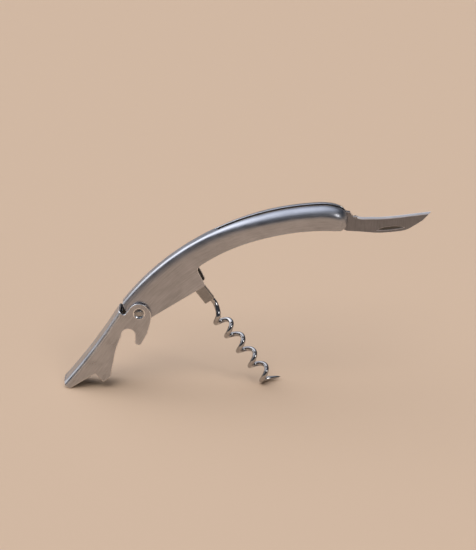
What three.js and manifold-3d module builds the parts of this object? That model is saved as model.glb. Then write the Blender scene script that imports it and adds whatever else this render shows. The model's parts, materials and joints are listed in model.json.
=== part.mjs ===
// A waiter's friend corkscrew, standing on its lever and its worm with the foil knife open.
// Millimetres. Every piece is drawn in the plane of the corkscrew, X and Z, and has its width along Y.
// An outline's turn is counted from +X towards +Z.
import * as THREE from 'three';
import { mergeVertices } from 'three/addons/utils/BufferGeometryUtils.js';
import Module from 'manifold-3d';

const wasm = await Module();
wasm.setup();

const turn = THREE.MathUtils.degToRad;

// Fits and cuts
const gap = 0.15; // between two faces that touch or slide
const overrun = 4; // how far a cutting shape runs past what it cuts

// Handle: one sheet folded along its back. Its frame has its origin at the lever rivet, +X to the knife.
const handleSheet = 1.0;
const handleNarrowWidth = 9.3; // outside, where the lever's ears straddle it
const handleWideWidth = 15.0; // outside, at the knife
const narrowShoulderRadius = 2.2; // outer radius of the fold at the narrow end
const wideShoulderRadius = 5.0;
const narrowFlankRadius = 8.0; // eases the fold into the wall
const wideFlankRadius = 5.0;
const shoulderTurn = turn(60); // how far the fold turns before it eases
const flareStartX = 36;
const flareEndX = 84;
const spineRadius = 125; // arch of the back
const spineCrestX = 50.76;
const spineCrestZ = 20.48;
const bellyDepth = 5.5; // from the lever rivet to the lower edge, and the round of the end
const bellySlope = turn(6.6);
const stepX = 34.5; // where the deep part ends
const stepCornerRadius = 1.0;
const stepFilletRadius = 2.5;
const throatRadius = 100; // arch of the lower edge past the step
const throatCrestX = 53.57;
const throatCrestZ = 9.95;
const slotStartX = 50;
const slotClearance = 0.35; // on each side of the blade
const pinSeatDepth = 0.4; // blind seats in the walls, so the walls stay unbroken outside

// Lever: one sheet folded to a channel. Its frame has +X from the rivet to the foot and its web below.
const leverSheet = 1.2;
const leverFoldRadius = 2.6;
const leverReach = 52.2; // rivet to foot
const webDrop = 8.4; // rivet to the outside of the web, at its ends
const webBow = 0.95; // the web is hollow along its length by this much
const webStartX = 5.0;
const webTipRadius = 1.5;
const earRadius = 5.1;
const reliefRadius = 1.2;
const hookRise = 9.95; // rivet to the far edge of the opener's hook
const hookTipX = 12.1;
const hookTipRadius = 1.75;
const archRadius = 3.3; // mouth of the opener
const archX = 12.2;
const archZ = 2.3;
const heelX = 35; // lowest corner of the flanges when the corkscrew stands
const heelRise = 7.84;
const clawX = 39.4;
const clawRise = 6.3;
const rimNotchX = 38.3; // root of the notch that bears on a bottle's rim
const rimNotchRise = 0.94;
const footRise = -4.3; // the flange's corner at the foot
const leverShownAngle = turn(-152.05);

// Lever rivet
const rivetRadius = 1.3;
const rivetHeadRadius = 1.55;
const sinkRadius = 2.6; // mouth of the cone sunk in each ear
const sinkDepth = 0.8;
const sinkRootRadius = 1.75;
const washerRadius = 4.4;
const washerThickness = 0.3;
const bushRadius = 2.6;

// Worm: tang and screw in one. Its frame has +X along the screw, towards the point.
const wormPinX = 30.5;
const wormPinRise = 3.35; // above the handle's lower edge
const wormPinRadius = 1.1;
const tangHeadRadius = 3.2;
const tangThickness = 2.4;
const tangLength = 12.4;
const tangShoulderRise = 2.3;
const tangDrop = 3.05;
const tangCornerRadius = 0.5;
const wireRadius = 1.2;
const wireRootRadius = 1.45;
const wirePointRadius = 0.12;
const coilRadius = 3.05; // centre of the wire to the screw's axis
const coilOffset = -1.6; // the axis lies below the pin
const coilAside = -0.8; // and beside the tang's middle, so that the corkscrew stands by itself
const leadRise = 0.9; // the straight wire beside the tang lies above the pin
const coilPitch = 9.7;
const coilStartX = 17.4;
const coilTurns = 4.71;
const firstTurnLag = 1.1; // the first turn is stretched where the wire leaves the tang
const pointRun = 6.4; // the ground point runs out straight
const pointLean = 1.25; // more along the screw than the coil
const pointTaperRun = 7;
const wormShownAngle = turn(-80.15);

// Knife: its frame has +X along the open blade and its edge up
const knifePinX = 104.75;
const knifeEndRadius = 5.05; // round of the handle's end, about the knife pin
const knifeEndDepth = 6.32; // knife pin to the back
const knifeCornerRadius = 24; // eases the end's round into the back
const noseHalfWidth = 2.8; // the walls are drawn in to this at the tip
const noseLength = 6; // along the back
const knifePinRadius = 1.2;
const knifeTangThickness = 2.0;
const bladeThickness = 1.6;
const edgeThickness = 0.2;
const bevelWidth = 0.85;
const bladeReach = 44.2; // pin to point
const bladeDepth = 8.0; // pin to the fullest part of the blade's back
const camRadius = 3.4;
const tangTopX = 6.1;
const tangTopDrop = 0.8; // the tang's top leans, so it lies on the back spring when the knife is shut
const plungeX = 8.5; // where the tang steps down to the blade
const plungeRun = 0.7;
const nickDepth = 0.45;
const knifeShownAngle = turn(-25.0);

// Back spring
const springWidth = 3.0;
const springInset = 0.2; // above the lower edge of the walls
const springBodyThickness = 3.5;
const springArmThickness = 1.2;
const springTipThickness = 0.85; // under the knife's cam
const springPinX = 57;
const springPinRadius = 0.9;
const springBossRadius = 1.9;

// Spacers round the hidden pins
const spacerRadius = 2.5;
const springSpacerRadius = 1.7;

// Facets
const arcStep = turn(7.5);
const roundSides = 32;
const wireSides = 12;
const stepsPerTurn = 24;
const armSteps = 8;
const noseSteps = 14;
const webSteps = 12;

const spine = { x: spineCrestX, z: spineCrestZ - spineRadius };
const throat = { x: throatCrestX, z: throatCrestZ - throatRadius };
const bellyZ = (x) => x * Math.tan(bellySlope) - bellyDepth / Math.cos(bellySlope);
const throatZ = (x) => throat.z + Math.sqrt(throatRadius ** 2 - (x - throat.x) ** 2);
const wormPin = { x: wormPinX, z: bellyZ(wormPinX) + wormPinRise };
const knifePinArc = spineRadius - knifeEndDepth;
const knifePin = { x: knifePinX, z: spine.z + Math.sqrt(knifePinArc ** 2 - (knifePinX - spine.x) ** 2) };

// The knife end: the back bends down round the pin by way of a wider corner
// Angles are seen from the centre of the back
const pinAngle = Math.atan2(knifePin.z - spine.z, knifePin.x - spine.x);
const cornerArc = spineRadius - knifeCornerRadius;
const cornerReach = knifeCornerRadius - knifeEndRadius;
const cornerCos = (cornerArc ** 2 + knifePinArc ** 2 - cornerReach ** 2) / (2 * cornerArc * knifePinArc);
const cornerAngle = pinAngle + Math.acos(Math.min(1, cornerCos));
const corner = {
  x: spine.x + cornerArc * Math.cos(cornerAngle),
  z: spine.z + cornerArc * Math.sin(cornerAngle),
};
const tipAngle = (inset) => pinAngle - Math.asin((knifeEndRadius - inset) / knifePinArc);
const noseStartX = spine.x + spineRadius * Math.cos(tipAngle(0)) - noseLength;

// From the spine's centre to the back, or to a skin inside it
function backRadius(angle, inset) {
  if (angle >= cornerAngle) {
    return spineRadius - inset;
  }
  const endRadius = knifeEndRadius - inset;
  const meetX = knifePin.x + endRadius * (knifePin.x - corner.x) / cornerReach;
  const meetZ = knifePin.z + endRadius * (knifePin.z - corner.z) / cornerReach;
  const round = angle < Math.atan2(meetZ - spine.z, meetX - spine.x);
  const [reach, centreAngle] = round ? [knifePinArc, pinAngle] : [cornerArc, cornerAngle];
  const radius = round ? endRadius : knifeCornerRadius - inset;
  const aside = reach * Math.sin(angle - centreAngle);
  return reach * Math.cos(angle - centreAngle) + Math.sqrt(Math.max(0, radius ** 2 - aside ** 2));
}

// Half the handle's width and its fold radii at a place along the back, for a skin inside it too
function widthAt(x, inset) {
  const t = THREE.MathUtils.smoothstep(x, flareStartX, flareEndX);
  const full = THREE.MathUtils.lerp(handleNarrowWidth, handleWideWidth, t) / 2;
  const into = THREE.MathUtils.clamp((x - noseStartX) / (noseLength - inset), 0, 1);
  const half = noseHalfWidth + (full - noseHalfWidth) * Math.sqrt(1 - into ** 2) - inset;
  const shoulder = THREE.MathUtils.lerp(narrowShoulderRadius, wideShoulderRadius, t) - inset;
  const flank = THREE.MathUtils.lerp(narrowFlankRadius, wideFlankRadius, t) - inset;
  const reach = flank + (shoulder - flank) * Math.sin(shoulderTurn);
  const ease = Math.min(1, half * 0.85 / reach);
  return { half, shoulder: shoulder * ease, flank: flank * ease };
}

// Half the width between the walls, where it is least beside a round piece
function innerHalfAt(place, radius = 0) {
  const angle = Math.atan2(place.z - spine.z, place.x - spine.x);
  const reach = Math.hypot(place.x - spine.x, place.z - spine.z);
  const aside = Math.asin(radius / reach);
  const depth = spineRadius - reach - radius - handleSheet;
  const halves = [angle - aside, angle + aside].map((a) => {
    const { half, shoulder, flank } = widthAt(spine.x + spineRadius * Math.cos(a), handleSheet);
    const short = shoulder + (flank - shoulder) * Math.cos(shoulderTurn) - depth;
    return half - flank + Math.sqrt(flank ** 2 - Math.max(0, short) ** 2);
  });
  return Math.min(...halves);
}

const washerSeat = gap + washerThickness + gap;
const leverInnerHalf = handleNarrowWidth / 2 + washerSeat;
const leverHalf = leverInnerHalf + leverSheet;

// Points of an arc from one angle to another, both ends included
function arc(x, z, radius, from, to) {
  const count = Math.max(2, Math.ceil(Math.abs(to - from) / arcStep));
  const points = [];
  for (let i = 0; i <= count; i += 1) {
    const a = from + (to - from) * i / count;
    points.push([x + radius * Math.cos(a), z + radius * Math.sin(a)]);
  }
  return points;
}

// A smooth line through a few points
function smooth(points, count) {
  const curve = new THREE.SplineCurve(points.map(([x, z]) => new THREE.Vector2(x, z)));
  return curve.getPoints(count).map((p) => [p.x, p.y]);
}

// Solids
function solidOf(geometry) {
  const bare = geometry.clone();
  bare.deleteAttribute('normal');
  bare.deleteAttribute('uv');
  const merged = mergeVertices(bare);
  const source = new wasm.Mesh({
    numProp: 3,
    vertProperties: new Float32Array(merged.attributes.position.array),
    triVerts: new Uint32Array(merged.index.array),
  });
  return new wasm.Manifold(source);
}

// A flat plate of an outline, from one Y to another
function plate(outline, yLow, yHigh) {
  const shape = new THREE.Shape(outline.map(([x, z]) => new THREE.Vector2(x, z)));
  const geometry = new THREE.ExtrudeGeometry(shape, { depth: yHigh - yLow, bevelEnabled: false });
  geometry.rotateX(Math.PI / 2);
  geometry.translate(0, yHigh, 0);
  return solidOf(geometry);
}

// A turned solid on a Y axis: its profile is radius and Y, from the axis to the axis
function turned(profile, x, z) {
  const geometry = new THREE.LatheGeometry(profile.map(([r, y]) => new THREE.Vector2(r, y)), roundSides);
  geometry.translate(x, 0, z);
  return solidOf(geometry);
}

function rod(radius, yLow, yHigh, x, z) {
  return turned([[0, yLow], [radius, yLow], [radius, yHigh], [0, yHigh]], x, z);
}

function collar(outer, inner, yLow, yHigh, x, z) {
  return rod(outer, yLow, yHigh, x, z).subtract(rod(inner, yLow - overrun, yHigh + overrun, x, z));
}

// A closed skin over rings of points, each ring with as many points as the next
function loft(rings) {
  const count = rings[0].length;
  const positions = rings.flat().flatMap((p) => [p.x, p.y, p.z]);
  const index = [];
  for (let i = 0; i + 1 < rings.length; i += 1) {
    for (let j = 0; j < count; j += 1) {
      const a = i * count + j;
      const b = i * count + (j + 1) % count;
      index.push(a, b, a + count, b, b + count, a + count);
    }
  }
  const capOf = (start, flip) => {
    const flat = rings[start / count].map((p) => p);
    const centre = flat.reduce((sum, p) => sum.add(p), new THREE.Vector3()).divideScalar(count);
    const at = positions.length / 3;
    positions.push(centre.x, centre.y, centre.z);
    for (let j = 0; j < count; j += 1) {
      const a = start + j;
      const b = start + (j + 1) % count;
      index.push(at, flip ? a : b, flip ? b : a);
    }
  };
  capOf(0, false);
  capOf((rings.length - 1) * count, true);
  const geometry = new THREE.BufferGeometry();
  geometry.setAttribute('position', new THREE.Float32BufferAttribute(positions, 3));
  geometry.setIndex(index);
  const solid = solidOf(geometry);
  if (solid.volume() > 0) {
    return solid;
  }
  geometry.index.array.reverse();
  return solidOf(geometry);
}

// Section of a folded sheet: half its width, the fold's radius, how far the skirts hang below the back,
// and the wider radius that eases the fold into the wall
function foldSection(half, radius, top, depth, flank = radius) {
  const foldX = half - flank + (flank - radius) * Math.sin(shoulderTurn);
  const flankZ = top - radius - (flank - radius) * Math.cos(shoulderTurn);
  const side = [
    ...arc(half - flank, flankZ, flank, 0, Math.PI / 2 - shoulderTurn),
    ...arc(foldX, top - radius, radius, Math.PI / 2 - shoulderTurn, Math.PI / 2).slice(1),
  ];
  const mirrored = side.map(([y, z]) => [-y, z]);
  return [[-half, -depth], ...mirrored, ...side.reverse(), [half, -depth]];
}

// Handle shell
const shellDepth = spineCrestZ + bellyDepth + overrun;

function handleSkin(inset, depth) {
  const start = Math.acos((-bellyDepth - overrun - spine.x) / spineRadius);
  const tip = tipAngle(inset);
  const count = Math.ceil((start - cornerAngle) / (arcStep / 5));
  const angles = [];
  for (let i = 0; i < count; i += 1) {
    angles.push(THREE.MathUtils.lerp(start, cornerAngle, i / count));
  }
  for (let i = 0; i <= noseSteps; i += 1) {
    angles.push(THREE.MathUtils.lerp(cornerAngle, tip, Math.sin(i / noseSteps * Math.PI / 2)));
  }
  return loft(angles.map((a) => {
    const { half, shoulder, flank } = widthAt(spine.x + spineRadius * Math.cos(a), inset);
    const section = foldSection(half, shoulder, backRadius(a, inset) - spineRadius, depth, flank);
    return section.map(([y, h]) => new THREE.Vector3(
      spine.x + (spineRadius + h) * Math.cos(a),
      y,
      spine.z + (spineRadius + h) * Math.sin(a),
    ));
  }));
}

function handleOutline() {
  const cornerX = stepX - stepCornerRadius;
  const cornerZ = bellyZ(cornerX) + stepCornerRadius / Math.cos(bellySlope);
  const filletX = stepX + stepFilletRadius;
  const filletZ = throat.z + Math.sqrt((throatRadius - stepFilletRadius) ** 2 - (filletX - throat.x) ** 2);
  const filletEnd = Math.atan2(filletZ - throat.z, filletX - throat.x);
  const reach = Math.hypot(knifePin.x - throat.x, knifePin.z - throat.z);
  const towards = Math.atan2(knifePin.z - throat.z, knifePin.x - throat.x);
  const along = (throatRadius ** 2 - knifeEndRadius ** 2 + reach ** 2) / (2 * reach);
  const aside = Math.sqrt(Math.max(0, throatRadius ** 2 - along ** 2));
  const meet = [
    throat.x + along * Math.cos(towards) + aside * Math.sin(towards),
    throat.z + along * Math.sin(towards) - aside * Math.cos(towards),
  ];
  const throatEnd = Math.atan2(meet[1] - throat.z, meet[0] - throat.x);
  const endFrom = Math.atan2(meet[1] - knifePin.z, meet[0] - knifePin.x);
  // The end's round is followed up to where the back comes down to it
  const endTo = tipAngle(0) - Math.PI / 2;
  const end = arc(knifePin.x, knifePin.z, knifeEndRadius, endFrom, endTo);
  const [tipX, tipZ] = end[end.length - 1];
  const high = spineCrestZ + overrun;
  return [
    [-bellyDepth, high],
    [-bellyDepth, 0],
    ...arc(0, 0, bellyDepth, Math.PI, 1.5 * Math.PI + bellySlope).slice(1),
    ...arc(cornerX, cornerZ, stepCornerRadius, bellySlope - Math.PI / 2, 0),
    ...arc(filletX, filletZ, stepFilletRadius, Math.PI, filletEnd),
    ...arcFine(throat, throatRadius, filletEnd, throatEnd).slice(1),
    ...end.slice(1),
    [tipX + overrun, tipZ],
    [tipX + overrun, high],
  ];
}

// A wide arc needs a finer step
function arcFine(centre, radius, from, to) {
  const count = Math.ceil(Math.abs(to - from) / (arcStep / 5));
  const points = [];
  for (let i = 0; i <= count; i += 1) {
    const a = from + (to - from) * i / count;
    points.push([centre.x + radius * Math.cos(a), centre.z + radius * Math.sin(a)]);
  }
  return points;
}

const slotHalf = knifeTangThickness / 2 + slotClearance;
const springPin = {
  x: springPinX,
  z: throat.z + Math.sqrt((throatRadius + springInset + springBodyThickness / 2) ** 2
    - (springPinX - throat.x) ** 2),
};

function handleShell() {
  const top = spineCrestZ + overrun;
  const right = knifePinX + knifeEndRadius + overrun;
  const slot = [[slotStartX, throat.z], [right, throat.z], [right, top], [slotStartX, top]];
  const seat = (pin, radius) => {
    const half = innerHalfAt(pin) + pinSeatDepth;
    return rod(radius + gap, -half, half, pin.x, pin.z);
  };
  const through = handleWideWidth + overrun;
  return handleSkin(0, shellDepth)
    .subtract(handleSkin(handleSheet, shellDepth + overrun))
    .intersect(plate(handleOutline(), -through, through))
    .subtract(plate(slot, -slotHalf, slotHalf))
    .subtract(rod(rivetRadius + gap, -through, through, 0, 0))
    .subtract(seat(wormPin, wormPinRadius))
    .subtract(seat(springPin, springPinRadius))
    .subtract(seat(knifePin, knifePinRadius));
}

// Lever
// The web follows an arc of this radius, centred outside it
const webChord = leverReach - webStartX;
const webRadius = webChord ** 2 / (8 * webBow) + webBow / 2;

function leverSkin(inset, depth) {
  const section = foldSection(leverHalf - inset, leverFoldRadius - inset, -inset, depth);
  const centreX = webStartX + webChord / 2;
  const centreZ = webBow - webDrop - webRadius;
  const reach = Math.asin((webChord / 2 + earRadius * 2 + overrun) / webRadius);
  const rings = [];
  for (let i = 0; i <= webSteps; i += 1) {
    const a = reach * (i / webSteps * 2 - 1);
    rings.push(section.map(([y, h]) => new THREE.Vector3(
      centreX + (webRadius - h) * Math.sin(a),
      y,
      centreZ + (webRadius - h) * Math.cos(a),
    )));
  }
  return loft(rings);
}

function leverOutline() {
  // Far edge of the opener's hook, as shares of the hook's length and rise
  const hookBackShares = [[-0.412, 0.07], [-0.335, 0.38], [-0.02, 0.675], [0.52, 0.92]];
  const hookLength = hookTipX;
  // Inner edge from the opener's mouth to the heel, as shares of the way along and up
  const innerEdgeShares = [[0.35, 0.24], [0.7, 0.64]];
  const hookBack = hookBackShares.map(([x, z]) => [x * hookLength, z * hookRise]);
  const tipZ = hookRise - hookTipRadius;
  const mouth = arc(archX, archZ, archRadius, turn(125), turn(310));
  const [mouthX, mouthZ] = mouth[mouth.length - 1];
  const innerEdge = [
    [mouthX, mouthZ],
    ...innerEdgeShares.map(([x, z]) => [mouthX + x * (heelX - mouthX), mouthZ + z * (heelRise - mouthZ)]),
    [heelX, heelRise],
  ];
  const low = -webDrop - overrun;
  const reliefX = webStartX - reliefRadius;
  const reliefTopZ = -earRadius - reliefRadius;
  const footZ = -webDrop + webTipRadius;
  return [
    [webStartX, low],
    ...arc(reliefX, reliefTopZ, reliefRadius, 0, Math.PI / 2),
    [0, -earRadius],
    ...arc(0, 0, earRadius, 1.5 * Math.PI, turn(172)).slice(1),
    ...smooth(hookBack, 10),
    ...arc(hookTipX, tipZ, hookTipRadius, turn(105), turn(-75)),
    ...mouth,
    ...smooth(innerEdge, 8).slice(1),
    [(heelX + clawX) / 2, heelRise - (heelRise - clawRise) / 4],
    [clawX, clawRise + (heelRise - clawRise) / 3],
    [clawX, clawRise],
    [rimNotchX, rimNotchRise],
    [leverReach - webTipRadius / 3, footRise],
    [leverReach, footRise - webTipRadius / 3],
    ...arc(leverReach - webTipRadius, footZ, webTipRadius, 0, turn(-60)),
    [leverReach - webTipRadius, low],
  ];
}

function lever() {
  const wide = leverHalf + overrun;
  const sink = (side) => {
    const face = side * leverHalf;
    const cone = [
      [0, face - side * sinkDepth],
      [sinkRootRadius, face - side * sinkDepth],
      [sinkRadius, face],
      [sinkRadius, face + side * overrun],
      [0, face + side * overrun],
    ];
    return turned(side > 0 ? cone : cone.reverse(), 0, 0);
  };
  return leverSkin(0, webDrop + hookRise + overrun)
    .subtract(leverSkin(leverSheet, webDrop + hookRise + overrun * 2))
    .intersect(plate(leverOutline(), -wide, wide))
    .subtract(rod(rivetRadius + gap, -wide, wide, 0, 0))
    .subtract(sink(1))
    .subtract(sink(-1));
}

// Lever rivet: a shank with a low dome in each ear's cone
function leverRivet() {
  const shoulder = leverHalf - sinkDepth + gap;
  const headStart = leverHalf - sinkDepth / 2;
  const dome = [];
  const domeRise = leverHalf - headStart;
  for (let i = 1; i <= 4; i += 1) {
    const a = i / 4 * Math.PI / 2;
    dome.push([i === 4 ? 0 : rivetHeadRadius * Math.cos(a), headStart + domeRise * Math.sin(a)]);
  }
  const half = [[rivetRadius, shoulder], [rivetHeadRadius, shoulder], [rivetHeadRadius, headStart], ...dome];
  const mirrored = half.map(([r, y]) => [r, -y]).reverse();
  return turned([...mirrored, ...half], 0, 0);
}

// Worm
function wirePath() {
  const lead = [
    new THREE.Vector3(tangLength / 2, 0, leadRise),
    new THREE.Vector3(tangLength * 3 / 4, 0, leadRise),
    new THREE.Vector3(tangLength, 0, leadRise),
    new THREE.Vector3((tangLength + coilStartX) / 2, 0, leadRise),
  ];
  const coilAt = (t) => new THREE.Vector3(
    coilStartX + coilPitch * t / (2 * Math.PI) + firstTurnLag * Math.exp(-(((t - Math.PI) / 2) ** 2)),
    coilAside - coilRadius * Math.sin(t),
    coilOffset + coilRadius * Math.cos(t),
  );
  const last = coilTurns * 2 * Math.PI;
  const first = turn(75);
  const count = Math.round((last - first) / (2 * Math.PI) * stepsPerTurn);
  const coil = [];
  for (let i = 0; i <= count; i += 1) {
    coil.push(coilAt(first + (last - first) * i / count));
  }
  const leadIn = new THREE.CatmullRomCurve3([...lead, coil[0], coil[1], coil[2]], false, 'centripetal');
  const leadPoints = leadIn.getPoints(20).filter((p) => p.x < coil[0].x - wireRadius / 2);
  const heading = coil[count].clone().sub(coil[count - 1]).normalize();
  heading.x *= pointLean;
  heading.normalize();
  const point = [];
  for (let i = 1; i <= 5; i += 1) {
    point.push(coil[count].clone().addScaledVector(heading, pointRun * i / 5));
  }
  return [...leadPoints, ...coil, ...point];
}

// A round wire along a path, its radius given by the distance from its start and to its end
function wire(path, radiusAt) {
  const lengths = [0];
  for (let i = 1; i < path.length; i += 1) {
    lengths.push(lengths[i - 1] + path[i].distanceTo(path[i - 1]));
  }
  const total = lengths[lengths.length - 1];
  let side = new THREE.Vector3(0, 1, 0);
  const rings = path.map((p, i) => {
    const before = path[Math.max(0, i - 1)];
    const after = path[Math.min(path.length - 1, i + 1)];
    const along = after.clone().sub(before).normalize();
    side = side.clone().addScaledVector(along, -side.dot(along)).normalize();
    const other = along.clone().cross(side);
    const radius = radiusAt(lengths[i], total - lengths[i]);
    const ring = [];
    for (let j = 0; j < wireSides; j += 1) {
      const a = 2 * Math.PI * j / wireSides;
      ring.push(p.clone()
        .addScaledVector(side, radius * Math.cos(a))
        .addScaledVector(other, radius * Math.sin(a)));
    }
    return ring;
  });
  return loft(rings);
}

function worm() {
  const rootRun = coilStartX + coilPitch / 2;
  const radiusAt = (fromRoot, toPoint) => {
    const root = THREE.MathUtils.smoothstep(fromRoot, tangLength, rootRun + coilPitch);
    const body = THREE.MathUtils.lerp(wireRootRadius, wireRadius, root);
    const taper = Math.min(1, toPoint / pointTaperRun);
    return Math.max(wirePointRadius, body * Math.sqrt(taper));
  };
  const outline = [
    ...arc(0, 0, tangHeadRadius, Math.PI / 2, Math.asin(-tangDrop / tangHeadRadius) + 2 * Math.PI)
      .filter(([x, z]) => x <= 0 || z < 0),
    [tangLength - tangCornerRadius, -tangDrop],
    [tangLength, -tangDrop + tangCornerRadius],
    [tangLength + tangCornerRadius * 2, leadRise],
    [tangLength + tangCornerRadius, tangShoulderRise - tangCornerRadius],
    [tangHeadRadius, tangShoulderRise],
  ];
  const through = tangThickness;
  return plate(outline, -tangThickness / 2, tangThickness / 2)
    .add(wire(wirePath(), radiusAt))
    .subtract(rod(wormPinRadius + gap, -through, through, 0, 0));
}

// Knife
const edgeShares = [
  [0.207, 0.06], [0.26, -0.025], [0.352, -0.031], [0.472, -0.037], [0.634, 0.025], [0.795, 0.125], [1, 0.25],
];
const backShares = [
  [0.1, -0.838], [0.214, -0.894], [0.323, -0.95], [0.427, -1],
  [0.526, -0.988], [0.68, -0.913], [0.756, -0.8],
  [0.833, -0.55], [0.91, -0.275],
];
const bladePoint = ([x, z]) => [x * bladeReach, z * bladeDepth];

function knifeOutline() {
  const heel = plungeX - plungeRun;
  const stopX = camRadius * 0.38;
  const stopAngle = -Math.acos(stopX / camRadius);
  return [
    ...arc(0, 0, camRadius, Math.PI / 2, stopAngle + 2 * Math.PI),
    [stopX, -camRadius * 1.45],
    ...smooth(backShares.map(bladePoint), 24),
    ...smooth(edgeShares.map(bladePoint).reverse(), 24),
    [heel, camRadius * 0.05],
    [(heel + tangTopX) / 2, camRadius * 0.3],
    [tangTopX, camRadius - tangTopDrop],
  ];
}

// The blade's section: full at the tang, thinner past the plunge, with a bevel on each side of the edge
function knifeSection(x, edgeZ) {
  const t = THREE.MathUtils.smoothstep(x, plungeX, plungeX + plungeRun);
  const thick = THREE.MathUtils.lerp(knifeTangThickness, bladeThickness, t) / 2;
  const thin = THREE.MathUtils.lerp(knifeTangThickness, edgeThickness, t) / 2;
  const low = -bladeDepth - overrun;
  const bevelZ = edgeZ - bevelWidth;
  const high = edgeZ + overrun * (1 - t);
  const section = [
    [-thick, low], [-thick, bevelZ], [-thin, high],
    [thin, high], [thick, bevelZ], [thick, low],
  ];
  return section.map(([y, z]) => new THREE.Vector3(x, y, z));
}

function knifeBody() {
  const edge = smooth(edgeShares.map(bladePoint), 24);
  const [firstX, firstZ] = edge[0];
  const rings = [-camRadius - overrun, plungeX, plungeX + plungeRun / 2].map((x) => knifeSection(x, firstZ));
  edge.filter(([x]) => x > plungeX + plungeRun).forEach(([x, z]) => rings.push(knifeSection(x, z)));
  const [lastX, lastZ] = edge[edge.length - 1];
  rings.push(knifeSection(lastX + overrun, lastZ + overrun / 2));
  return loft(rings);
}

function knife() {
  // Nail nick: a crescent near the back, as shares of the blade's reach and depth
  const nickLowShares = [[0.425, -0.86], [0.52, -0.855], [0.62, -0.8], [0.718, -0.69]];
  const nickHighShares = [[0.66, -0.62], [0.594, -0.6], [0.48, -0.69]];
  const nick = [...nickLowShares, ...nickHighShares].map(bladePoint);
  const face = -bladeThickness / 2;
  const through = knifeTangThickness;
  return knifeBody()
    .intersect(plate(knifeOutline(), -through, through))
    .subtract(plate(smooth([...nick, nick[0]], 28).slice(1), face - overrun, face + nickDepth))
    .subtract(rod(knifePinRadius + gap, -through, through, 0, 0));
}

// Back spring: a leaf along the inside of the throat, thick at its pin, with an arm to each tang
function backSpring() {
  const lower = throatRadius + springInset;
  const angleOf = (x) => Math.acos((x - throat.x) / throatRadius);
  const from = angleOf(stepX + stepFilletRadius);
  const pinAt = angleOf(springPinX);
  const to = Math.atan2(knifePin.z - throat.z, knifePin.x - throat.x) + turn(0.6);
  const onArc = (a, r) => [throat.x + r * Math.cos(a), throat.z + r * Math.sin(a)];
  const underside = arcFine(throat, lower, from, to);
  const topside = [];
  const count = underside.length - 1;
  for (let i = 0; i <= count; i += 1) {
    const a = to + (from - to) * i / count;
    const body = 1 - Math.min(1, Math.abs(a - pinAt) / (a > pinAt ? from - pinAt : pinAt - to));
    const thin = a > pinAt ? springArmThickness : springTipThickness;
    topside.push(onArc(a, lower + thin + (springBodyThickness - thin) * body * body));
  }
  const restZ = wormPin.z + tangHeadRadius + gap;
  const armEndX = wormPin.x - tangHeadRadius / 2;
  const arm = (end, startZ) => {
    const points = [];
    for (let i = 0; i < armSteps; i += 1) {
      const x = THREE.MathUtils.lerp(armEndX, end[0], i / armSteps);
      points.push([x, startZ + (end[1] - startZ) * THREE.MathUtils.smoothstep(x, armEndX, end[0])]);
    }
    return points;
  };
  const armUnder = arm(underside[0], restZ);
  const armOver = arm(topside[count], restZ + springArmThickness).reverse();
  const half = springWidth / 2;
  return plate([...armUnder, ...underside, ...topside, ...armOver], -half, half)
    .add(rod(springBossRadius, -half, half, springPin.x, springPin.z))
    .subtract(rod(springPinRadius + gap, -springWidth, springWidth, springPin.x, springPin.z))
    .subtract(rod(camRadius + gap, -springWidth, springWidth, knifePin.x, knifePin.z));
}

// Pins and spacers that sit between the walls
function seatedPin(pin, radius) {
  const half = innerHalfAt(pin) + pinSeatDepth - gap;
  return rod(radius, -half, half, pin.x, pin.z);
}

function spacer(side, pin, outer, pinRadius, carriedHalf) {
  const wall = innerHalfAt(pin, outer) - gap;
  const near = carriedHalf + gap;
  const [low, high] = side > 0 ? [near, wall] : [-wall, -near];
  return collar(outer, pinRadius + gap, low, high, pin.x, pin.z);
}

// Finishes
const satinSteel = { color: 0x9b9792, roughness: 0.34, metalness: 1 };
const polishedSteel = { color: 0xc4c4c6, roughness: 0.12, metalness: 1 };
const bladeSteel = { color: 0x8c8a8a, roughness: 0.3, metalness: 1 };
const springSteel = { color: 0x7d7b78, roughness: 0.4, metalness: 1 };

function piece(name, solid, finish) {
  const { vertProperties, triVerts } = solid.getMesh();
  const geometry = new THREE.BufferGeometry();
  geometry.setAttribute('position', new THREE.Float32BufferAttribute(vertProperties, 3));
  geometry.setIndex(new THREE.Uint32BufferAttribute(triVerts, 1));
  geometry.computeVertexNormals();
  const mesh = new THREE.Mesh(geometry, new THREE.MeshStandardMaterial(finish));
  mesh.name = name;
  return mesh;
}

// Groups: each moving group turns about its own pin, from +X towards +Z
function turningGroup(pin, angle, pieces) {
  const moving = new THREE.Group();
  moving.position.set(pin.x, 0, pin.z);
  moving.rotation.y = -angle;
  moving.add(...pieces);
  return moving;
}

const origin = { x: 0, z: 0 };
const tangHalf = tangThickness / 2;
const knifeHalf = knifeTangThickness / 2;
const springHalf = springWidth / 2;
const washerFrom = handleNarrowWidth / 2 + gap;
const washerTo = washerFrom + washerThickness;
const bushHalf = innerHalfAt(origin, bushRadius) - gap;

const leverGroup = turningGroup(origin, leverShownAngle, [piece('lever', lever(), satinSteel)]);
const wormGroup = turningGroup(wormPin, wormShownAngle, [piece('worm', worm(), polishedSteel)]);
const knifeGroup = turningGroup(knifePin, knifeShownAngle, [piece('knife', knife(), bladeSteel)]);

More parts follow.
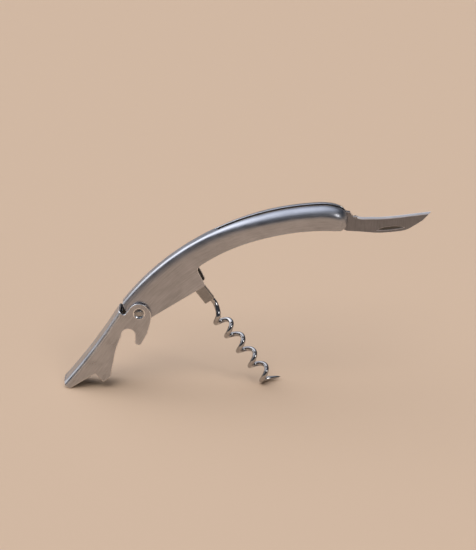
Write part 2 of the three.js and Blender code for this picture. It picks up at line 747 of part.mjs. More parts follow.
const handle = new THREE.Group();
handle.add(
  piece('handle_shell', handleShell(), satinSteel),
  piece('lever_rivet', leverRivet(), polishedSteel),
  piece('lever_bush', collar(bushRadius, rivetRadius + gap, -bushHalf, bushHalf, 0, 0), springSteel),
  piece('lever_washer_near',
    collar(washerRadius, rivetRadius + gap, -washerTo, -washerFrom, 0, 0), springSteel),
  piece('lever_washer_far',
    collar(washerRadius, rivetRadius + gap, washerFrom, washerTo, 0, 0), springSteel),
  piece('worm_pin', seatedPin(wormPin, wormPinRadius), springSteel),
  piece('worm_spacer_near', spacer(-1, wormPin, spacerRadius, wormPinRadius, tangHalf), springSteel),
  piece('worm_spacer_far', spacer(1, wormPin, spacerRadius, wormPinRadius, tangHalf), springSteel),
  piece('knife_pin', seatedPin(knifePin, knifePinRadius), springSteel),
  piece('knife_spacer_near', spacer(-1, knifePin, spacerRadius, knifePinRadius, knifeHalf), springSteel),
  piece('knife_spacer_far', spacer(1, knifePin, spacerRadius, knifePinRadius, knifeHalf), springSteel),
  piece('back_spring', backSpring(), springSteel),
  piece('spring_pin', seatedPin(springPin, springPinRadius), springSteel),
  piece('spring_spacer_near',
    spacer(-1, springPin, springSpacerRadius, springPinRadius, springHalf), springSteel),
  piece('spring_spacer_far',
    spacer(1, springPin, springSpacerRadius, springPinRadius, springHalf), springSteel),
  leverGroup,
  wormGroup,
  knifeGroup,
);

// The handle tilts until the lever's foot and the worm stand on one level
function lowestOf(object, tilt) {
  const position = object.geometry.attributes.position;
  const place = new THREE.Matrix4().makeRotationY(-tilt).multiply(object.matrixWorld);
  const lowest = new THREE.Vector3(0, 0, Infinity);
  for (let i = 0; i < position.count; i += 1) {
    const p = new THREE.Vector3().fromBufferAttribute(position, i).applyMatrix4(place);
    if (p.z < lowest.z) {
      lowest.copy(p);
    }
  }
  return lowest;
}

handle.updateMatrixWorld(true);
let tilt = -knifeShownAngle;
for (let i = 0; i < 8; i += 1) {
  const foot = lowestOf(leverGroup.children[0], tilt);
  const tip = lowestOf(wormGroup.children[0], tilt);
  tilt -= Math.atan2(tip.z - foot.z, tip.x - foot.x);
}
handle.rotation.y = -tilt;

const corkscrew = new THREE.Group();
corkscrew.add(handle);
corkscrew.updateMatrixWorld(true);
const box = new THREE.Box3().setFromObject(corkscrew, true);
corkscrew.position.set(-(box.min.x + box.max.x) / 2, -(box.min.y + box.max.y) / 2, -box.min.z);

export default corkscrew;
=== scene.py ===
# Looks of a waiter's friend corkscrew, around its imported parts. Metres, in the frame of the parts.
import json
import math

import bpy
from mathutils import Matrix, Vector

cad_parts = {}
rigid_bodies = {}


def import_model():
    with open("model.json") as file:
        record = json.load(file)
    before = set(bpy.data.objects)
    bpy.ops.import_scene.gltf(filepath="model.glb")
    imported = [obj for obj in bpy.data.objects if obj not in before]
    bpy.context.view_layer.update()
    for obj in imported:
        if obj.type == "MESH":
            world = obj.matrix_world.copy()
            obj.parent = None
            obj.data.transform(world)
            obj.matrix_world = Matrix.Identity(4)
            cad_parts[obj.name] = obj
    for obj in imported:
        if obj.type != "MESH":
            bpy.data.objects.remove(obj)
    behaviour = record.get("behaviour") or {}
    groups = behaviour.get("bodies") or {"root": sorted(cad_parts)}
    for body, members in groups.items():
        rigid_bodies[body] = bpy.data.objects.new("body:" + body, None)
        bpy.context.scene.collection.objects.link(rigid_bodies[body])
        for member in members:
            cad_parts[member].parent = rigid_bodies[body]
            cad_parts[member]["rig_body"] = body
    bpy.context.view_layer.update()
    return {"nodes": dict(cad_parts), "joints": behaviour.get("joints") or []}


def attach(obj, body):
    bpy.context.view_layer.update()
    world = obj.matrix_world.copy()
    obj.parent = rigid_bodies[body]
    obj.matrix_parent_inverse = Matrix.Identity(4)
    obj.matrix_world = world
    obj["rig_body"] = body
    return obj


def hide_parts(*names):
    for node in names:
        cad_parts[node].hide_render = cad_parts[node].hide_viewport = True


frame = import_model()
bpy.ops.object.select_all(action="DESELECT")
print("parts loaded")

mm = 0.001
pivots = {j["name"]: Vector(j["pos_m"]) for j in frame["joints"]}
leverPivot = pivots["lever_hinge"]
wormPivot = pivots["worm_hinge"]
knifePivot = pivots["knife_hinge"]

# How the corkscrew stands: degrees from +X towards +Z
stance = {
    "handle": 25.94,
    "lever": -126.11,
    "worm": -54.21,
    "knife": 0.94,
}


def direction(degrees):
    return Vector((math.cos(math.radians(degrees)), 0, math.sin(math.radians(degrees))))


def placeOf(pivot, degrees):
    # A place in a piece's own plan, +X along the piece, as a place in the frame
    along = direction(degrees)
    across = direction(degrees + 90)
    return Matrix((
        (along.x, 0, across.x, pivot.x),
        (0, 1, 0, pivot.y),
        (along.z, 0, across.z, pivot.z),
        (0, 0, 0, 1),
    ))


# Node helpers
def addNode(tree, kind, **settings):
    node = tree.nodes.new(kind)
    for name, value in settings.items():
        setattr(node, name, value)
    return node


def setInputs(node, **values):
    for name, value in values.items():
        node.inputs[name.replace("_", " ")].default_value = value
    return node


def mathNode(tree, operation, first, second=None):
    node = addNode(tree, "ShaderNodeMath", operation=operation)
    for socket, value in zip(node.inputs, (first, second)):
        if value is None:
            continue
        if isinstance(value, (int, float)):
            socket.default_value = value
        else:
            tree.links.new(value, socket)
    return node.outputs[0]


# Two values added, each times its share
def inShares(tree, values, shares):
    scaled = [mathNode(tree, "MULTIPLY", value, share) for value, share in zip(values, shares)]
    return mathNode(tree, "ADD", *scaled)


def newGroup(name, inputs, outputs):
    group = bpy.data.node_groups.new(name, "ShaderNodeTree")
    for way, sockets in (("INPUT", inputs), ("OUTPUT", outputs)):
        for label, kind in sockets.items():
            group.interface.new_socket(label, in_out=way, socket_type=kind)
    return group, group.nodes.new("NodeGroupInput"), group.nodes.new("NodeGroupOutput")


floatSocket = "NodeSocketFloat"
vectorSocket = "NodeSocketVector"

# How the steels' patterns are made: how much finer the lines are than the streaks, the shares in which
# noises are added, and the stretches of them that are spread over a look's range
pattern = {
    "finer": 3.0, "linesAndStreaks": (0.6, 0.4), "streaksAndPatches": (0.5, 0.5),
    "noise": (0.25, 0.75), "tone": (0.35, 0.65),
}


# Lines that a belt leaves in steel: coarse streaks, and finer lines mixed with them
def brushedLines():
    group, given, result = newGroup(
        "brushed lines", {"Vector": vectorSocket}, {"Lines": floatSocket, "Streaks": floatSocket}
    )
    links = group.links
    streaks = setInputs(addNode(group, "ShaderNodeTexNoise"), Scale=1.0, Detail=3.0, Roughness=0.6)
    links.new(given.outputs["Vector"], streaks.inputs["Vector"])
    finer = setInputs(addNode(group, "ShaderNodeVectorMath", operation="SCALE"), Scale=pattern["finer"])
    links.new(given.outputs["Vector"], finer.inputs[0])
    lines = setInputs(addNode(group, "ShaderNodeTexNoise"), Scale=1.0, Detail=2.0, Roughness=0.7)
    links.new(finer.outputs[0], lines.inputs["Vector"])
    noises = (lines.outputs["Fac"], streaks.outputs["Fac"])
    links.new(inShares(group, noises, pattern["linesAndStreaks"]), result.inputs["Lines"])
    links.new(streaks.outputs["Fac"], result.inputs["Streaks"])
    return group


# Soft patches where hands and cloths have rubbed, in Object coordinates
def rubbedPatches():
    group, given, result = newGroup(
        "rubbed patches", {"Vector": vectorSocket, "Size": floatSocket}, {"Patches": floatSocket}
    )
    links = group.links
    patches = setInputs(addNode(group, "ShaderNodeTexNoise"), Detail=4.0, Roughness=0.55, Distortion=0.6)
    links.new(given.outputs["Vector"], patches.inputs["Vector"])
    links.new(mathNode(group, "DIVIDE", 1.0, given.outputs["Size"]), patches.inputs["Scale"])
    links.new(patches.outputs["Fac"], result.inputs["Patches"])
    return group


# Place along and across the arched handle: round the arch's centre, across Y, and out from the centre
def archedPlace():
    group, given, result = newGroup(
        "arched place",
        {"Vector": vectorSocket, "Centre": vectorSocket, "Radius": floatSocket},
        {"Vector": vectorSocket},
    )
    links = group.links
    fromCentre = addNode(group, "ShaderNodeVectorMath", operation="SUBTRACT")
    links.new(given.outputs["Vector"], fromCentre.inputs[0])
    links.new(given.outputs["Centre"], fromCentre.inputs[1])
    parts = addNode(group, "ShaderNodeSeparateXYZ")
    links.new(fromCentre.outputs[0], parts.inputs[0])
    turnAngle = mathNode(group, "ARCTAN2", parts.outputs["X"], parts.outputs["Z"])
    squares = mathNode(group, "ADD", mathNode(group, "MULTIPLY", parts.outputs["X"], parts.outputs["X"]),
                       mathNode(group, "MULTIPLY", parts.outputs["Z"], parts.outputs["Z"]))
    placed = addNode(group, "ShaderNodeCombineXYZ")
    links.new(mathNode(group, "MULTIPLY", turnAngle, given.outputs["Radius"]), placed.inputs["X"])
    links.new(parts.outputs["Y"], placed.inputs["Y"])
    links.new(mathNode(group, "SQRT", squares), placed.inputs["Z"])
    links.new(placed.outputs[0], result.inputs["Vector"])
    return group


linesGroup = brushedLines()
patchesGroup = rubbedPatches()
archGroup = archedPlace()


# Sockets of a Mix node that is set to colours
mixFactor, mixFirst, mixSecond, mixResult = 0, 6, 7, 2


def blendColours(tree, factor, low, high):
    mix = addNode(tree, "ShaderNodeMix", data_type="RGBA")
    tree.links.new(factor, mix.inputs[mixFactor])
    mix.inputs[mixFirst].default_value = (*low, 1)
    mix.inputs[mixSecond].default_value = (*high, 1)
    return mix.outputs[mixResult]


# Spreads a stretch of a value over the range from low to high
def spread(tree, value, low, high, stretch=pattern["noise"]):
    node = setInputs(addNode(tree, "ShaderNodeMapRange"), To_Min=low, To_Max=high)
    node.inputs["From Min"].default_value, node.inputs["From Max"].default_value = stretch
    tree.links.new(value, node.inputs["Value"])
    return node.outputs[0]


# A steel: brushed along one way, rubbed in patches
def steel(name, look):
    material = bpy.data.materials.new(name)
    material.use_nodes = True
    tree = material.node_tree
    tree.nodes.clear()
    output = addNode(tree, "ShaderNodeOutputMaterial")
    surface = setInputs(addNode(tree, "ShaderNodeBsdfPrincipled"), Metallic=1.0)
    tree.links.new(surface.outputs[0], output.inputs["Surface"])
    place = addNode(tree, "ShaderNodeTexCoord").outputs["Object"]
    patches = setInputs(addNode(tree, "ShaderNodeGroup", node_tree=patchesGroup), Size=look["patchSize"])
    tree.links.new(place, patches.inputs["Vector"])
    if "arch" in look:
        arched = setInputs(addNode(tree, "ShaderNodeGroup", node_tree=archGroup),
                           Centre=look["arch"]["centre"], Radius=look["arch"]["radius"])
        tree.links.new(place, arched.inputs["Vector"])
        place = arched.outputs["Vector"]
    mapping = addNode(tree, "ShaderNodeMapping", vector_type="TEXTURE")
    mapping.inputs["Rotation"].default_value = (0, -math.radians(look.get("grainAngle", 0)), 0)
    mapping.inputs["Scale"].default_value = look["grainSize"]
    tree.links.new(place, mapping.inputs["Vector"])
    lines = addNode(tree, "ShaderNodeGroup", node_tree=linesGroup)
    tree.links.new(mapping.outputs[0], lines.inputs["Vector"])
    noises = (lines.outputs["Streaks"], patches.outputs["Patches"])
    tone = spread(tree, inShares(tree, noises, pattern["streaksAndPatches"]), 0, 1, pattern["tone"])
    tree.links.new(blendColours(tree, tone, look["dark"], look["light"]), surface.inputs["Base Color"])
    rough = mathNode(tree, "ADD", spread(tree, patches.outputs["Patches"], *look["roughness"]),
                     spread(tree, lines.outputs["Lines"], -look["lineRoughness"], look["lineRoughness"]))
    tree.links.new(rough, surface.inputs["Roughness"])
    bump = setInputs(addNode(tree, "ShaderNodeBump"), Strength=look["bump"], Distance=look["depth"])
    tree.links.new(lines.outputs["Lines"], bump.inputs["Height"])
    tree.links.new(bump.outputs[0], surface.inputs["Normal"])
    return material


handleArch = {
    "crest": Vector((50.76 * mm, 0, 20.48 * mm)),
    "radius": 125 * mm,
}
archDrop = Vector((0, 0, handleArch["radius"]))
archCentre = placeOf(leverPivot, stance["handle"]) @ (handleArch["crest"] - archDrop)

finishes = {
    "handle": {
        "dark": (0.36, 0.365, 0.39), "light": (0.53, 0.535, 0.57), "roughness": (0.31, 0.41),
        "lineRoughness": 0.08, "patchSize": 14 * mm, "bump": 0.7, "depth": 0.014 * mm,
        "grainSize": (9 * mm, 0.5 * mm, 0.5 * mm),
        "arch": {"centre": archCentre, "radius": handleArch["radius"]},
    },
    "lever": {
        "dark": (0.38, 0.385, 0.41), "light": (0.54, 0.545, 0.575), "roughness": (0.27, 0.37),
        "lineRoughness": 0.08, "patchSize": 9 * mm, "bump": 0.7, "depth": 0.012 * mm,
        "grainSize": (7 * mm, 0.45 * mm, 0.45 * mm), "grainAngle": stance["lever"],
    },
    # Painted highlight: a much brighter steel for the broken edges of the sheets and the rivet, standing
    # in for the light their edges catch
    "painted highlight rim": {
        "dark": (0.76, 0.755, 0.76), "light": (0.88, 0.875, 0.88), "roughness": (0.2, 0.28),
        "lineRoughness": 0.03, "patchSize": 5 * mm, "bump": 0.25, "depth": 0.006 * mm,
        "grainSize": (1.5 * mm, 1.5 * mm, 1.5 * mm),
    },
    # Painted highlight: a brighter steel on the lever's two outer folds, standing in for the light they
    # catch
    "painted highlight fold": {
        "dark": (0.6, 0.6, 0.62), "light": (0.74, 0.74, 0.76), "roughness": (0.22, 0.3),
        "lineRoughness": 0.06, "patchSize": 9 * mm, "bump": 0.5, "depth": 0.008 * mm,
        "grainSize": (7 * mm, 0.45 * mm, 0.45 * mm), "grainAngle": stance["lever"],
    },
    # Painted shade: a near-black steel for the inner faces of the folded sheets, the inside of the
    # lever's web and the floor of the nail nick, where shade falls; rougher too, as unpolished
    "inside": {
        "dark": (0.1, 0.098, 0.095), "light": (0.16, 0.156, 0.15), "roughness": (0.42, 0.52),
        "lineRoughness": 0.05, "patchSize": 8 * mm, "bump": 0.4, "depth": 0.01 * mm,
        "grainSize": (2 * mm, 2 * mm, 2 * mm),
    },
    "worm": {
        "dark": (0.36, 0.345, 0.34), "light": (0.52, 0.505, 0.5), "roughness": (0.05, 0.1),
        "lineRoughness": 0.02, "patchSize": 6 * mm, "bump": 0.2, "depth": 0.008 * mm,
        "grainSize": (1.2 * mm, 1.2 * mm, 1.2 * mm),
    },
    "tang": {
        "dark": (0.26, 0.255, 0.255), "light": (0.36, 0.35, 0.35), "roughness": (0.3, 0.38),
        "lineRoughness": 0.04, "patchSize": 4 * mm, "bump": 0.4, "depth": 0.008 * mm,
        "grainSize": (0.4 * mm, 0.4 * mm, 4 * mm), "grainAngle": stance["worm"],
    },
    "blade": {
        "dark": (0.19, 0.192, 0.21), "light": (0.27, 0.272, 0.295), "roughness": (0.28, 0.36),
        "lineRoughness": 0.05, "patchSize": 6 * mm, "bump": 0.45, "depth": 0.008 * mm,
        "grainSize": (0.35 * mm, 0.35 * mm, 6 * mm), "grainAngle": stance["knife"],
    },
    # Painted highlight: a pale steel for the blade's ground bevel and broken edges, standing in for light
    # from the front
    "painted highlight ground edge": {
        "dark": (0.82, 0.79, 0.79), "light": (0.92, 0.89, 0.89), "roughness": (0.48, 0.56),
        "lineRoughness": 0.05, "patchSize": 4 * mm, "bump": 0.4, "depth": 0.006 * mm,
        "grainSize": (0.25 * mm, 0.25 * mm, 2 * mm), "grainAngle": stance["knife"],
    },
    "spring": {
        "dark": (0.24, 0.235, 0.23), "light": (0.32, 0.31, 0.3), "roughness": (0.34, 0.44),
        "lineRoughness": 0.05, "patchSize": 7 * mm, "bump": 0.4, "depth": 0.01 * mm,
        "grainSize": (5 * mm, 0.4 * mm, 0.4 * mm), "grainAngle": stance["handle"],
    },
    "turned": {
        "dark": (0.34, 0.335, 0.33), "light": (0.44, 0.435, 0.43), "roughness": (0.22, 0.3),
        "lineRoughness": 0.04, "patchSize": 3 * mm, "bump": 0.35, "depth": 0.006 * mm,
        "grainSize": (3 * mm, 0.15 * mm, 3 * mm),
    },
}
steels = {name: steel(name + " steel", look) for name, look in finishes.items()}
print("steels made")


def only(piece):
    bpy.ops.object.select_all(action="DESELECT")
    bpy.context.view_layer.objects.active = piece
    piece.select_set(True)


def applyModifier(piece, kind, **settings):
    only(piece)
    modifier = piece.modifiers.new(kind.title(), kind)
    for name, value in settings.items():
        setattr(modifier, name, value)
    bpy.ops.object.modifier_apply(modifier=modifier.name)


def editMesh(piece):
    only(piece)
    bpy.ops.object.mode_set(mode="EDIT")
    bpy.ops.mesh.select_all(action="SELECT")


def smoothed(piece, degrees):
    only(piece)
    bpy.ops.object.shade_smooth_by_angle(angle=math.radians(degrees))


# How a part's own mesh is cleaned before its edges are broken: degrees for flat, percent for weight
cleaning = {"merge": 0.004 * mm, "flat": 0.3, "weight": 80}

# Places in a piece's list of steels: the first is for its faces, and the second for its broken edges
faceSteel, edgeSteel = 0, 1


# A pressed or ground piece: the part's own shape with its edges broken, so that they catch the light, and
# given the piece's second steel, which on the sheets, rivet and blade is painted brighter as a highlight
def edgedCopy(node, look):
    source = frame["nodes"][node]
    piece = bpy.data.objects.new(look["name"], source.data.copy())
    bpy.context.scene.collection.objects.link(piece)
    editMesh(piece)
    bpy.ops.mesh.customdata_custom_splitnormals_clear()
    bpy.ops.mesh.remove_doubles(threshold=cleaning["merge"])
    bpy.ops.mesh.dissolve_limited(angle_limit=math.radians(cleaning["flat"]))
    bpy.ops.object.mode_set(mode="OBJECT")
    piece.data.materials.clear()
    for name in look["steels"]:
        piece.data.materials.append(steels[name])
    applyModifier(piece, "BEVEL", width=look["edge"], segments=look["segments"], limit_method="ANGLE",
                  angle_limit=math.radians(look["sharp"]), use_clamp_overlap=False, material=edgeSteel,
                  miter_outer="MITER_SHARP")
    smoothed(piece, look["smooth"])
    applyModifier(piece, "WEIGHTED_NORMAL", keep_sharp=True, weight=cleaning["weight"])
    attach(piece, source["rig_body"])
    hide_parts(node)
    return piece


handleLook = {
    "name": "handleSheet", "steels": ["handle", "painted highlight rim", "inside"], "slot": "satin_steel",
    "edge": 0.2 * mm, "segments": 3, "sharp": 40, "smooth": 32,
}
leverLook = {
    "name": "leverSheet", "steels": ["lever", "painted highlight rim", "inside", "painted highlight fold"], "slot": "satin_steel",
    "edge": 0.3 * mm, "segments": 4, "sharp": 40, "smooth": 32,
    "halfWeb": 3.2 * mm, "webShare": 0.6, "foldFrom": 16, "foldTo": 50,
}
knifeLook = {
    "name": "knifeBlade", "steels": ["blade", "painted highlight ground edge", "inside"], "slot": "blade_steel",
    "edge": 0.11 * mm, "segments": 3, "sharp": 28, "smooth": 24,
    "bladeFrom": 20 * mm, "nickFrom": 15 * mm, "nickDepth": 0.3 * mm,
    "flatShare": 0.9, "bevelRise": (0.2, 0.8), "bevelSide": (0.5, 0.97),
}
rivetLook = {
    "name": "leverRivetHead", "steels": ["turned", "painted highlight rim"], "slot": "polished_steel",
    "edge": 0.06 * mm, "segments": 2, "sharp": 50, "smooth": 40,
}
handleSheet = edgedCopy("handle_shell", handleLook)
leverSheet = edgedCopy("lever", leverLook)
knifeBlade = edgedCopy("knife", knifeLook)
edgedCopy("lever_rivet", rivetLook)
print("sheets, blade and rivet dressed")


def refinish(face, look, name):
    face.material_index = look["steels"].index(name)


# Inner faces of the two folded sheets, rougher as unpolished and painted dark as shade inside the folds:
# they face the middle by more than this share
innerShare = 0.25
for piece, look in ((handleSheet, handleLook), (leverSheet, leverLook)):
    for face in piece.data.polygons:
        inward = -face.normal.y * face.center.y
        if face.material_index == faceSteel and abs(face.normal.y) > innerShare and inward > 0:
            refinish(face, look, "inside")

# The lever's web is rougher inside, as unpolished, and painted dark there as shade, and its two folds are
# painted brighter as a highlight
webUp = direction(stance["lever"] + 90)
for face in leverSheet.data.polygons:
    if face.material_index != faceSteel:
        continue
    if abs(face.center.y) < leverLook["halfWeb"] and face.normal.dot(webUp) > leverLook["webShare"]:
        refinish(face, leverLook, "inside")
    lean = math.degrees(math.atan2(-face.normal.dot(webUp), abs(face.normal.y)))
    if leverLook["foldFrom"] < lean < leverLook["foldTo"] and face.normal.y * face.center.y > 0:
        refinish(face, leverLook, "painted highlight fold")

# The floor of the blade's nail nick, painted dark as shade in the recess, and the bevel ground along its
# edge, painted bright as a highlight
bladeStart = knifePivot.x + knifeLook["bladeFrom"]
nickStart = knifePivot.x + knifeLook["nickFrom"]
nearSide = min(v.co.y for v in knifeBlade.data.vertices if v.co.x > bladeStart)
riseLow, riseHigh = knifeLook["bevelRise"]
sideLow, sideHigh = knifeLook["bevelSide"]
for face in knifeBlade.data.polygons:
    sunk = face.center.y > nearSide + knifeLook["nickDepth"]
    if sunk and face.normal.y < -knifeLook["flatShare"] and face.center.x > nickStart:
        refinish(face, knifeLook, "inside")
    if riseLow < face.normal.z < riseHigh and sideLow < abs(face.normal.y) < sideHigh:
        refinish(face, knifeLook, "painted highlight ground edge")

# Screw of the worm: one wire along a smooth curve, thick at its root and ground to a point
wormLook = {
    "wireRadius": 1.2 * mm, "rootRadius": 1.24 * mm, "buriedRadius": 1 * mm, "pointRadius": 0.12 * mm,
    "coilRadius": 3.05 * mm, "coilOffset": -1.6 * mm, "coilAside": -0.8 * mm, "leadRise": 0.9 * mm,
    "pitch": 9.7 * mm, "start": 17.4 * mm, "turns": 4.71, "firstTurnLag": 1.1 * mm, "lagSpread": 2,
    "tangLength": 12.4 * mm, "tangCover": 1 * mm, "pointRun": 6.4 * mm, "pointLean": 1.25,
    "taperRun": 7 * mm, "stepsPerTurn": 24, "firstAngle": 75, "tailSteps": 5,
    "leadShares": (0.5, 0.75, 1), "rootTurns": 1.5,
    "curveSteps": 3, "roundness": 6, "smooth": 50, "merge": 0.001 * mm,
}


# Middle of the wire: out of the tang, round the coil, and straight to the point
def wormLine(look):
    def coilAt(angle):
        lag = look["firstTurnLag"] * math.exp(-(((angle - math.pi) / look["lagSpread"]) ** 2))
        return Vector((
            look["start"] + look["pitch"] * angle / (2 * math.pi) + lag,
            look["coilAside"] - look["coilRadius"] * math.sin(angle),
            look["coilOffset"] + look["coilRadius"] * math.cos(angle),
        ))

    length = look["tangLength"]
    places = [length * share for share in look["leadShares"]] + [(length + look["start"]) / 2]
    points = [Vector((x, 0, look["leadRise"])) for x in places]
    first = math.radians(look["firstAngle"])
    last = look["turns"] * 2 * math.pi
    steps = round((last - first) / (2 * math.pi) * look["stepsPerTurn"])
    coil = [coilAt(first + (last - first) * i / steps) for i in range(steps + 1)]
    heading = (coil[-1] - coil[-2]).normalized()
    heading.x *= look["pointLean"]
    heading.normalize()
    count = look["tailSteps"]
    tail = [coil[-1] + heading * look["pointRun"] * (i + 1) / count for i in range(count)]
    return points + coil + tail


def wormScrew(look):
    line = wormLine(look)
    lengths = [0]
    for before, after in zip(line, line[1:]):
        lengths.append(lengths[-1] + (after - before).length)
    curve = bpy.data.curves.new("wormScrew", "CURVE")
    curve.dimensions = "3D"
    curve.bevel_depth = 1
    curve.bevel_resolution = look["roundness"]
    curve.resolution_u = look["curveSteps"]
    curve.use_fill_caps = True
    spline = curve.splines.new("BEZIER")
    spline.bezier_points.add(len(line) - 1)
    place = placeOf(wormPivot, stance["worm"])
    rootRun = look["start"] + look["pitch"] * look["rootTurns"]
    for point, at, run in zip(spline.bezier_points, line, lengths):
        point.co = place @ at
        point.handle_left_type = point.handle_right_type = "AUTO"
        share = min(1, max(0, (run - look["tangLength"]) / (rootRun - look["tangLength"])))
        share = share * share * (3 - 2 * share)
        radius = look["rootRadius"] + (look["wireRadius"] - look["rootRadius"]) * share
        if at.x < look["tangLength"] - look["tangCover"]:
            radius = look["buriedRadius"]
        taper = min(1, (lengths[-1] - run) / look["taperRun"])
        point.radius = max(look["pointRadius"], radius * math.sqrt(taper))
    piece = bpy.data.objects.new("wormScrew", curve)
    bpy.context.scene.collection.objects.link(piece)
    only(piece)
    bpy.ops.object.convert(target="MESH")
    piece = bpy.context.object
    piece.data.materials.clear()
    piece.data.materials.append(steels["worm"])
    editMesh(piece)
    bpy.ops.mesh.remove_doubles(threshold=look["merge"])
    bpy.ops.mesh.normals_make_consistent(inside=False)
    bpy.ops.object.mode_set(mode="OBJECT")
    smoothed(piece, look["smooth"])
    return piece


# Tang of the worm: a flat bar with a round head about its pin
tangLook = {
    "head": 3.2 * mm, "length": wormLook["tangLength"], "drop": 3.05 * mm, "rise": 2.3 * mm,
    "thickness": 2.4 * mm, "corner": 0.55 * mm, "edge": 0.42 * mm, "pinHole": 1.25 * mm,
    "headShare": 0.48, "roundSegments": 8, "holeSides": 32, "edgeSegments": 4, "sharp": 50, "smooth": 35,
}


def wormTang(look):
    bpy.ops.mesh.primitive_cube_add(size=1)
    piece = bpy.context.object
    piece.name = piece.data.name = "wormTang"
    long = look["length"] + look["head"]
    tall = look["drop"] + look["rise"]
    middle = ((look["length"] - look["head"]) / 2, 0, (look["rise"] - look["drop"]) / 2)
    piece.data.transform(Matrix.Translation(middle) @ Matrix.Diagonal((long, look["thickness"], tall, 1)))
    for end, radius in ((-1, tall * look["headShare"]), (1, look["corner"])):
        only(piece)
        bpy.ops.object.mode_set(mode="EDIT")
        bpy.ops.mesh.select_mode(type="EDGE")
        bpy.ops.mesh.select_all(action="DESELECT")
        bpy.ops.object.mode_set(mode="OBJECT")
        points = [v.co for v in piece.data.vertices]
        reach = max(end * p.x for p in points)
        for edge in piece.data.edges:
            a, b = (points[i] for i in edge.vertices)
            if abs(a.y - b.y) > look["thickness"] / 2 and end * a.x > reach - mm / 100:
                edge.select = True
        bpy.ops.object.mode_set(mode="EDIT")
        bpy.ops.mesh.bevel(offset=radius, segments=look["roundSegments"], affect="EDGES")
        bpy.ops.object.mode_set(mode="OBJECT")
    bpy.ops.mesh.primitive_cylinder_add(radius=look["pinHole"], depth=look["thickness"] * 2,
                                        vertices=look["holeSides"], rotation=(math.pi / 2, 0, 0))
    drill = bpy.context.object
    applyModifier(piece, "BOOLEAN", operation="DIFFERENCE", object=drill, solver="EXACT")
    bpy.data.objects.remove(drill)
    piece.data.materials.clear()
    for name in ("tang", "worm"):
        piece.data.materials.append(steels[name])
    applyModifier(piece, "BEVEL", width=look["edge"], segments=look["edgeSegments"], limit_method="ANGLE",
                  angle_limit=math.radians(look["sharp"]), material=edgeSteel)
    piece.data.transform(placeOf(wormPivot, stance["worm"]))
    smoothed(piece, look["smooth"])
    return piece


screw = wormScrew(wormLook)
tang = wormTang(tangLook)
for piece in (screw, tang):
    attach(piece, "worm")
    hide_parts("worm")
print("worm made")

# Pins, bush, washers, spacers and the back spring keep their own shapes
innerSteels = {
    "back_spring": "spring",
    "lever_bush": "turned", "lever_washer_near": "turned", "lever_washer_far": "turned",
    "worm_pin": "turned", "worm_spacer_near": "turned", "worm_spacer_far": "turned",
    "knife_pin": "turned", "knife_spacer_near": "turned", "knife_spacer_far": "turned",
    "spring_pin": "turned", "spring_spacer_near": "turned", "spring_spacer_far": "turned",
}
for node, name in innerSteels.items():
    target = frame["nodes"][node]
    target.data.materials.clear()
    target.data.materials.append(steels[name])
print("inner parts finished")

# Floor, light and camera
studio = {
    "floorColour": (0.6, 0.44, 0.315), "floorSize": 16.0,
    "lowColour": (0.62, 0.52, 0.44), "lowStrength": 0.8, "lowTop": 0.06,
    "highColour": (0.5, 0.56, 0.68), "highStrength": 0.12, "highBottom": 0.2,
}
bpy.ops.mesh.primitive_plane_add(size=studio["floorSize"])
floor = bpy.context.object
floor.name = "floor"
floorPaint = bpy.data.materials.new("floor paint")
floorPaint.use_nodes = True
setInputs(floorPaint.node_tree.nodes["Principled BSDF"],
          Base_Color=(*studio["floorColour"], 1), Roughness=0.9, Specular_IOR_Level=0.1)
floor.data.materials.append(floorPaint)

# The room: pale walls up to lowTop, a share of the way overhead, dim from highBottom up, and soft windows
# that fade out from their middles
windows = {
    "overhead": {"from": (-0.36, 0.3, 0.85), "inner": 10, "outer": 58, "colour": (1.12, 1.19, 1.36)},
    "left": {"from": (-0.76, 0.22, 0.62), "inner": 6, "outer": 34, "colour": (1.6, 1.6, 1.6)},
}
world = bpy.context.scene.world or bpy.data.worlds.new("studio")
bpy.context.scene.world = world
world.use_nodes = True
room = world.node_tree
room.nodes.clear()
sight = addNode(room, "ShaderNodeTexCoord").outputs["Generated"]
heights = addNode(room, "ShaderNodeSeparateXYZ")
room.links.new(sight, heights.inputs[0])
high = spread(room, heights.outputs["Z"], 0, 1, (studio["lowTop"], studio["highBottom"]))
lowGlow = [c * studio["lowStrength"] for c in studio["lowColour"]]
highGlow = [c * studio["highStrength"] for c in studio["highColour"]]
light = blendColours(room, high, lowGlow, highGlow)
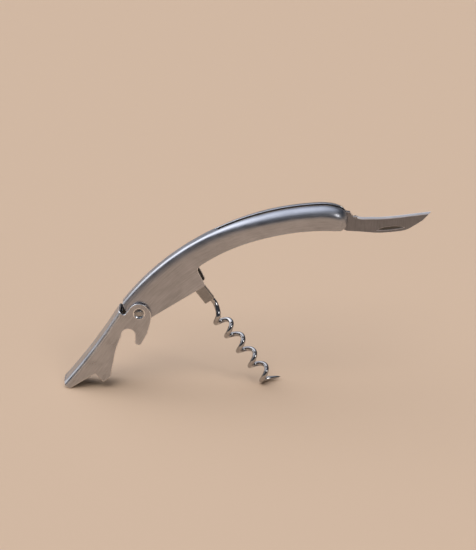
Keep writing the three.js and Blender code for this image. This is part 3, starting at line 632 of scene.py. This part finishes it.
for window in windows.values():
    facing = addNode(room, "ShaderNodeVectorMath", operation="DOT_PRODUCT")
    room.links.new(sight, facing.inputs[0])
    facing.inputs[1].default_value = Vector(window["from"]).normalized()
    share = addNode(room, "ShaderNodeMapRange", interpolation_type="SMOOTHSTEP")
    room.links.new(facing.outputs["Value"], share.inputs["Value"])
    share.inputs["From Min"].default_value = math.cos(math.radians(window["outer"]))
    share.inputs["From Max"].default_value = math.cos(math.radians(window["inner"]))
    added = addNode(room, "ShaderNodeMix", data_type="RGBA", blend_type="ADD", clamp_result=False)
    room.links.new(share.outputs[0], added.inputs[mixFactor])
    room.links.new(light, added.inputs[mixFirst])
    added.inputs[mixSecond].default_value = (*window["colour"], 1)
    light = added.outputs[mixResult]
glow = setInputs(addNode(room, "ShaderNodeBackground"), Strength=1.0)
room.links.new(light, glow.inputs["Color"])
room.links.new(glow.outputs[0], addNode(room, "ShaderNodeOutputWorld").inputs["Surface"])

# A soft lamp above and in front of the corkscrew, which lays its shadow behind it and isn't seen in the
# steel, and a smaller one that is, for the worm's glints
lamps = {
    "front": {
        "from": (-0.16, -0.5, 0.85), "spread": 42, "power": 1.3,
        "colour": (1.0, 0.97, 0.93), "mirrored": False,
    },
    "glint": {
        "from": (0.55, -0.55, 0.63), "spread": 14, "power": 0.38,
        "colour": (1.0, 0.98, 0.97), "mirrored": True,
    },
}
for name, lamp in lamps.items():
    data = bpy.data.lights.new(name, "SUN")
    data.angle = math.radians(lamp["spread"])
    data.energy = lamp["power"]
    data.color = lamp["colour"]
    sky = bpy.data.objects.new(name, data)
    bpy.context.scene.collection.objects.link(sky)
    sky.visible_glossy = lamp["mirrored"]
    sky.rotation_euler = Vector(lamp["from"]).to_track_quat("Z", "Y").to_euler()

view = {
    "target": leverPivot + Vector((47.2 * mm, 0, 17.4 * mm)),
    "elevation": 22, "distance": 857.14 * mm, "focalPixels": 1800, "pictureHeight": 550, "sensor": 36,
}
cameraData = bpy.data.cameras.new("camera")
cameraData.sensor_fit = "VERTICAL"
cameraData.sensor_width = cameraData.sensor_height = view["sensor"]
cameraData.lens = view["sensor"] * view["focalPixels"] / view["pictureHeight"]
cameraData.clip_start = 0.01
camera = bpy.data.objects.new("camera", cameraData)
bpy.context.scene.collection.objects.link(camera)
tilt = math.radians(view["elevation"])
camera.location = view["target"] + view["distance"] * Vector((0, -math.cos(tilt), math.sin(tilt)))
camera.rotation_euler = (math.pi / 2 - tilt, 0, 0)
bpy.context.scene.camera = camera
bpy.context.scene.view_settings.view_transform = "Standard"
print("studio set")
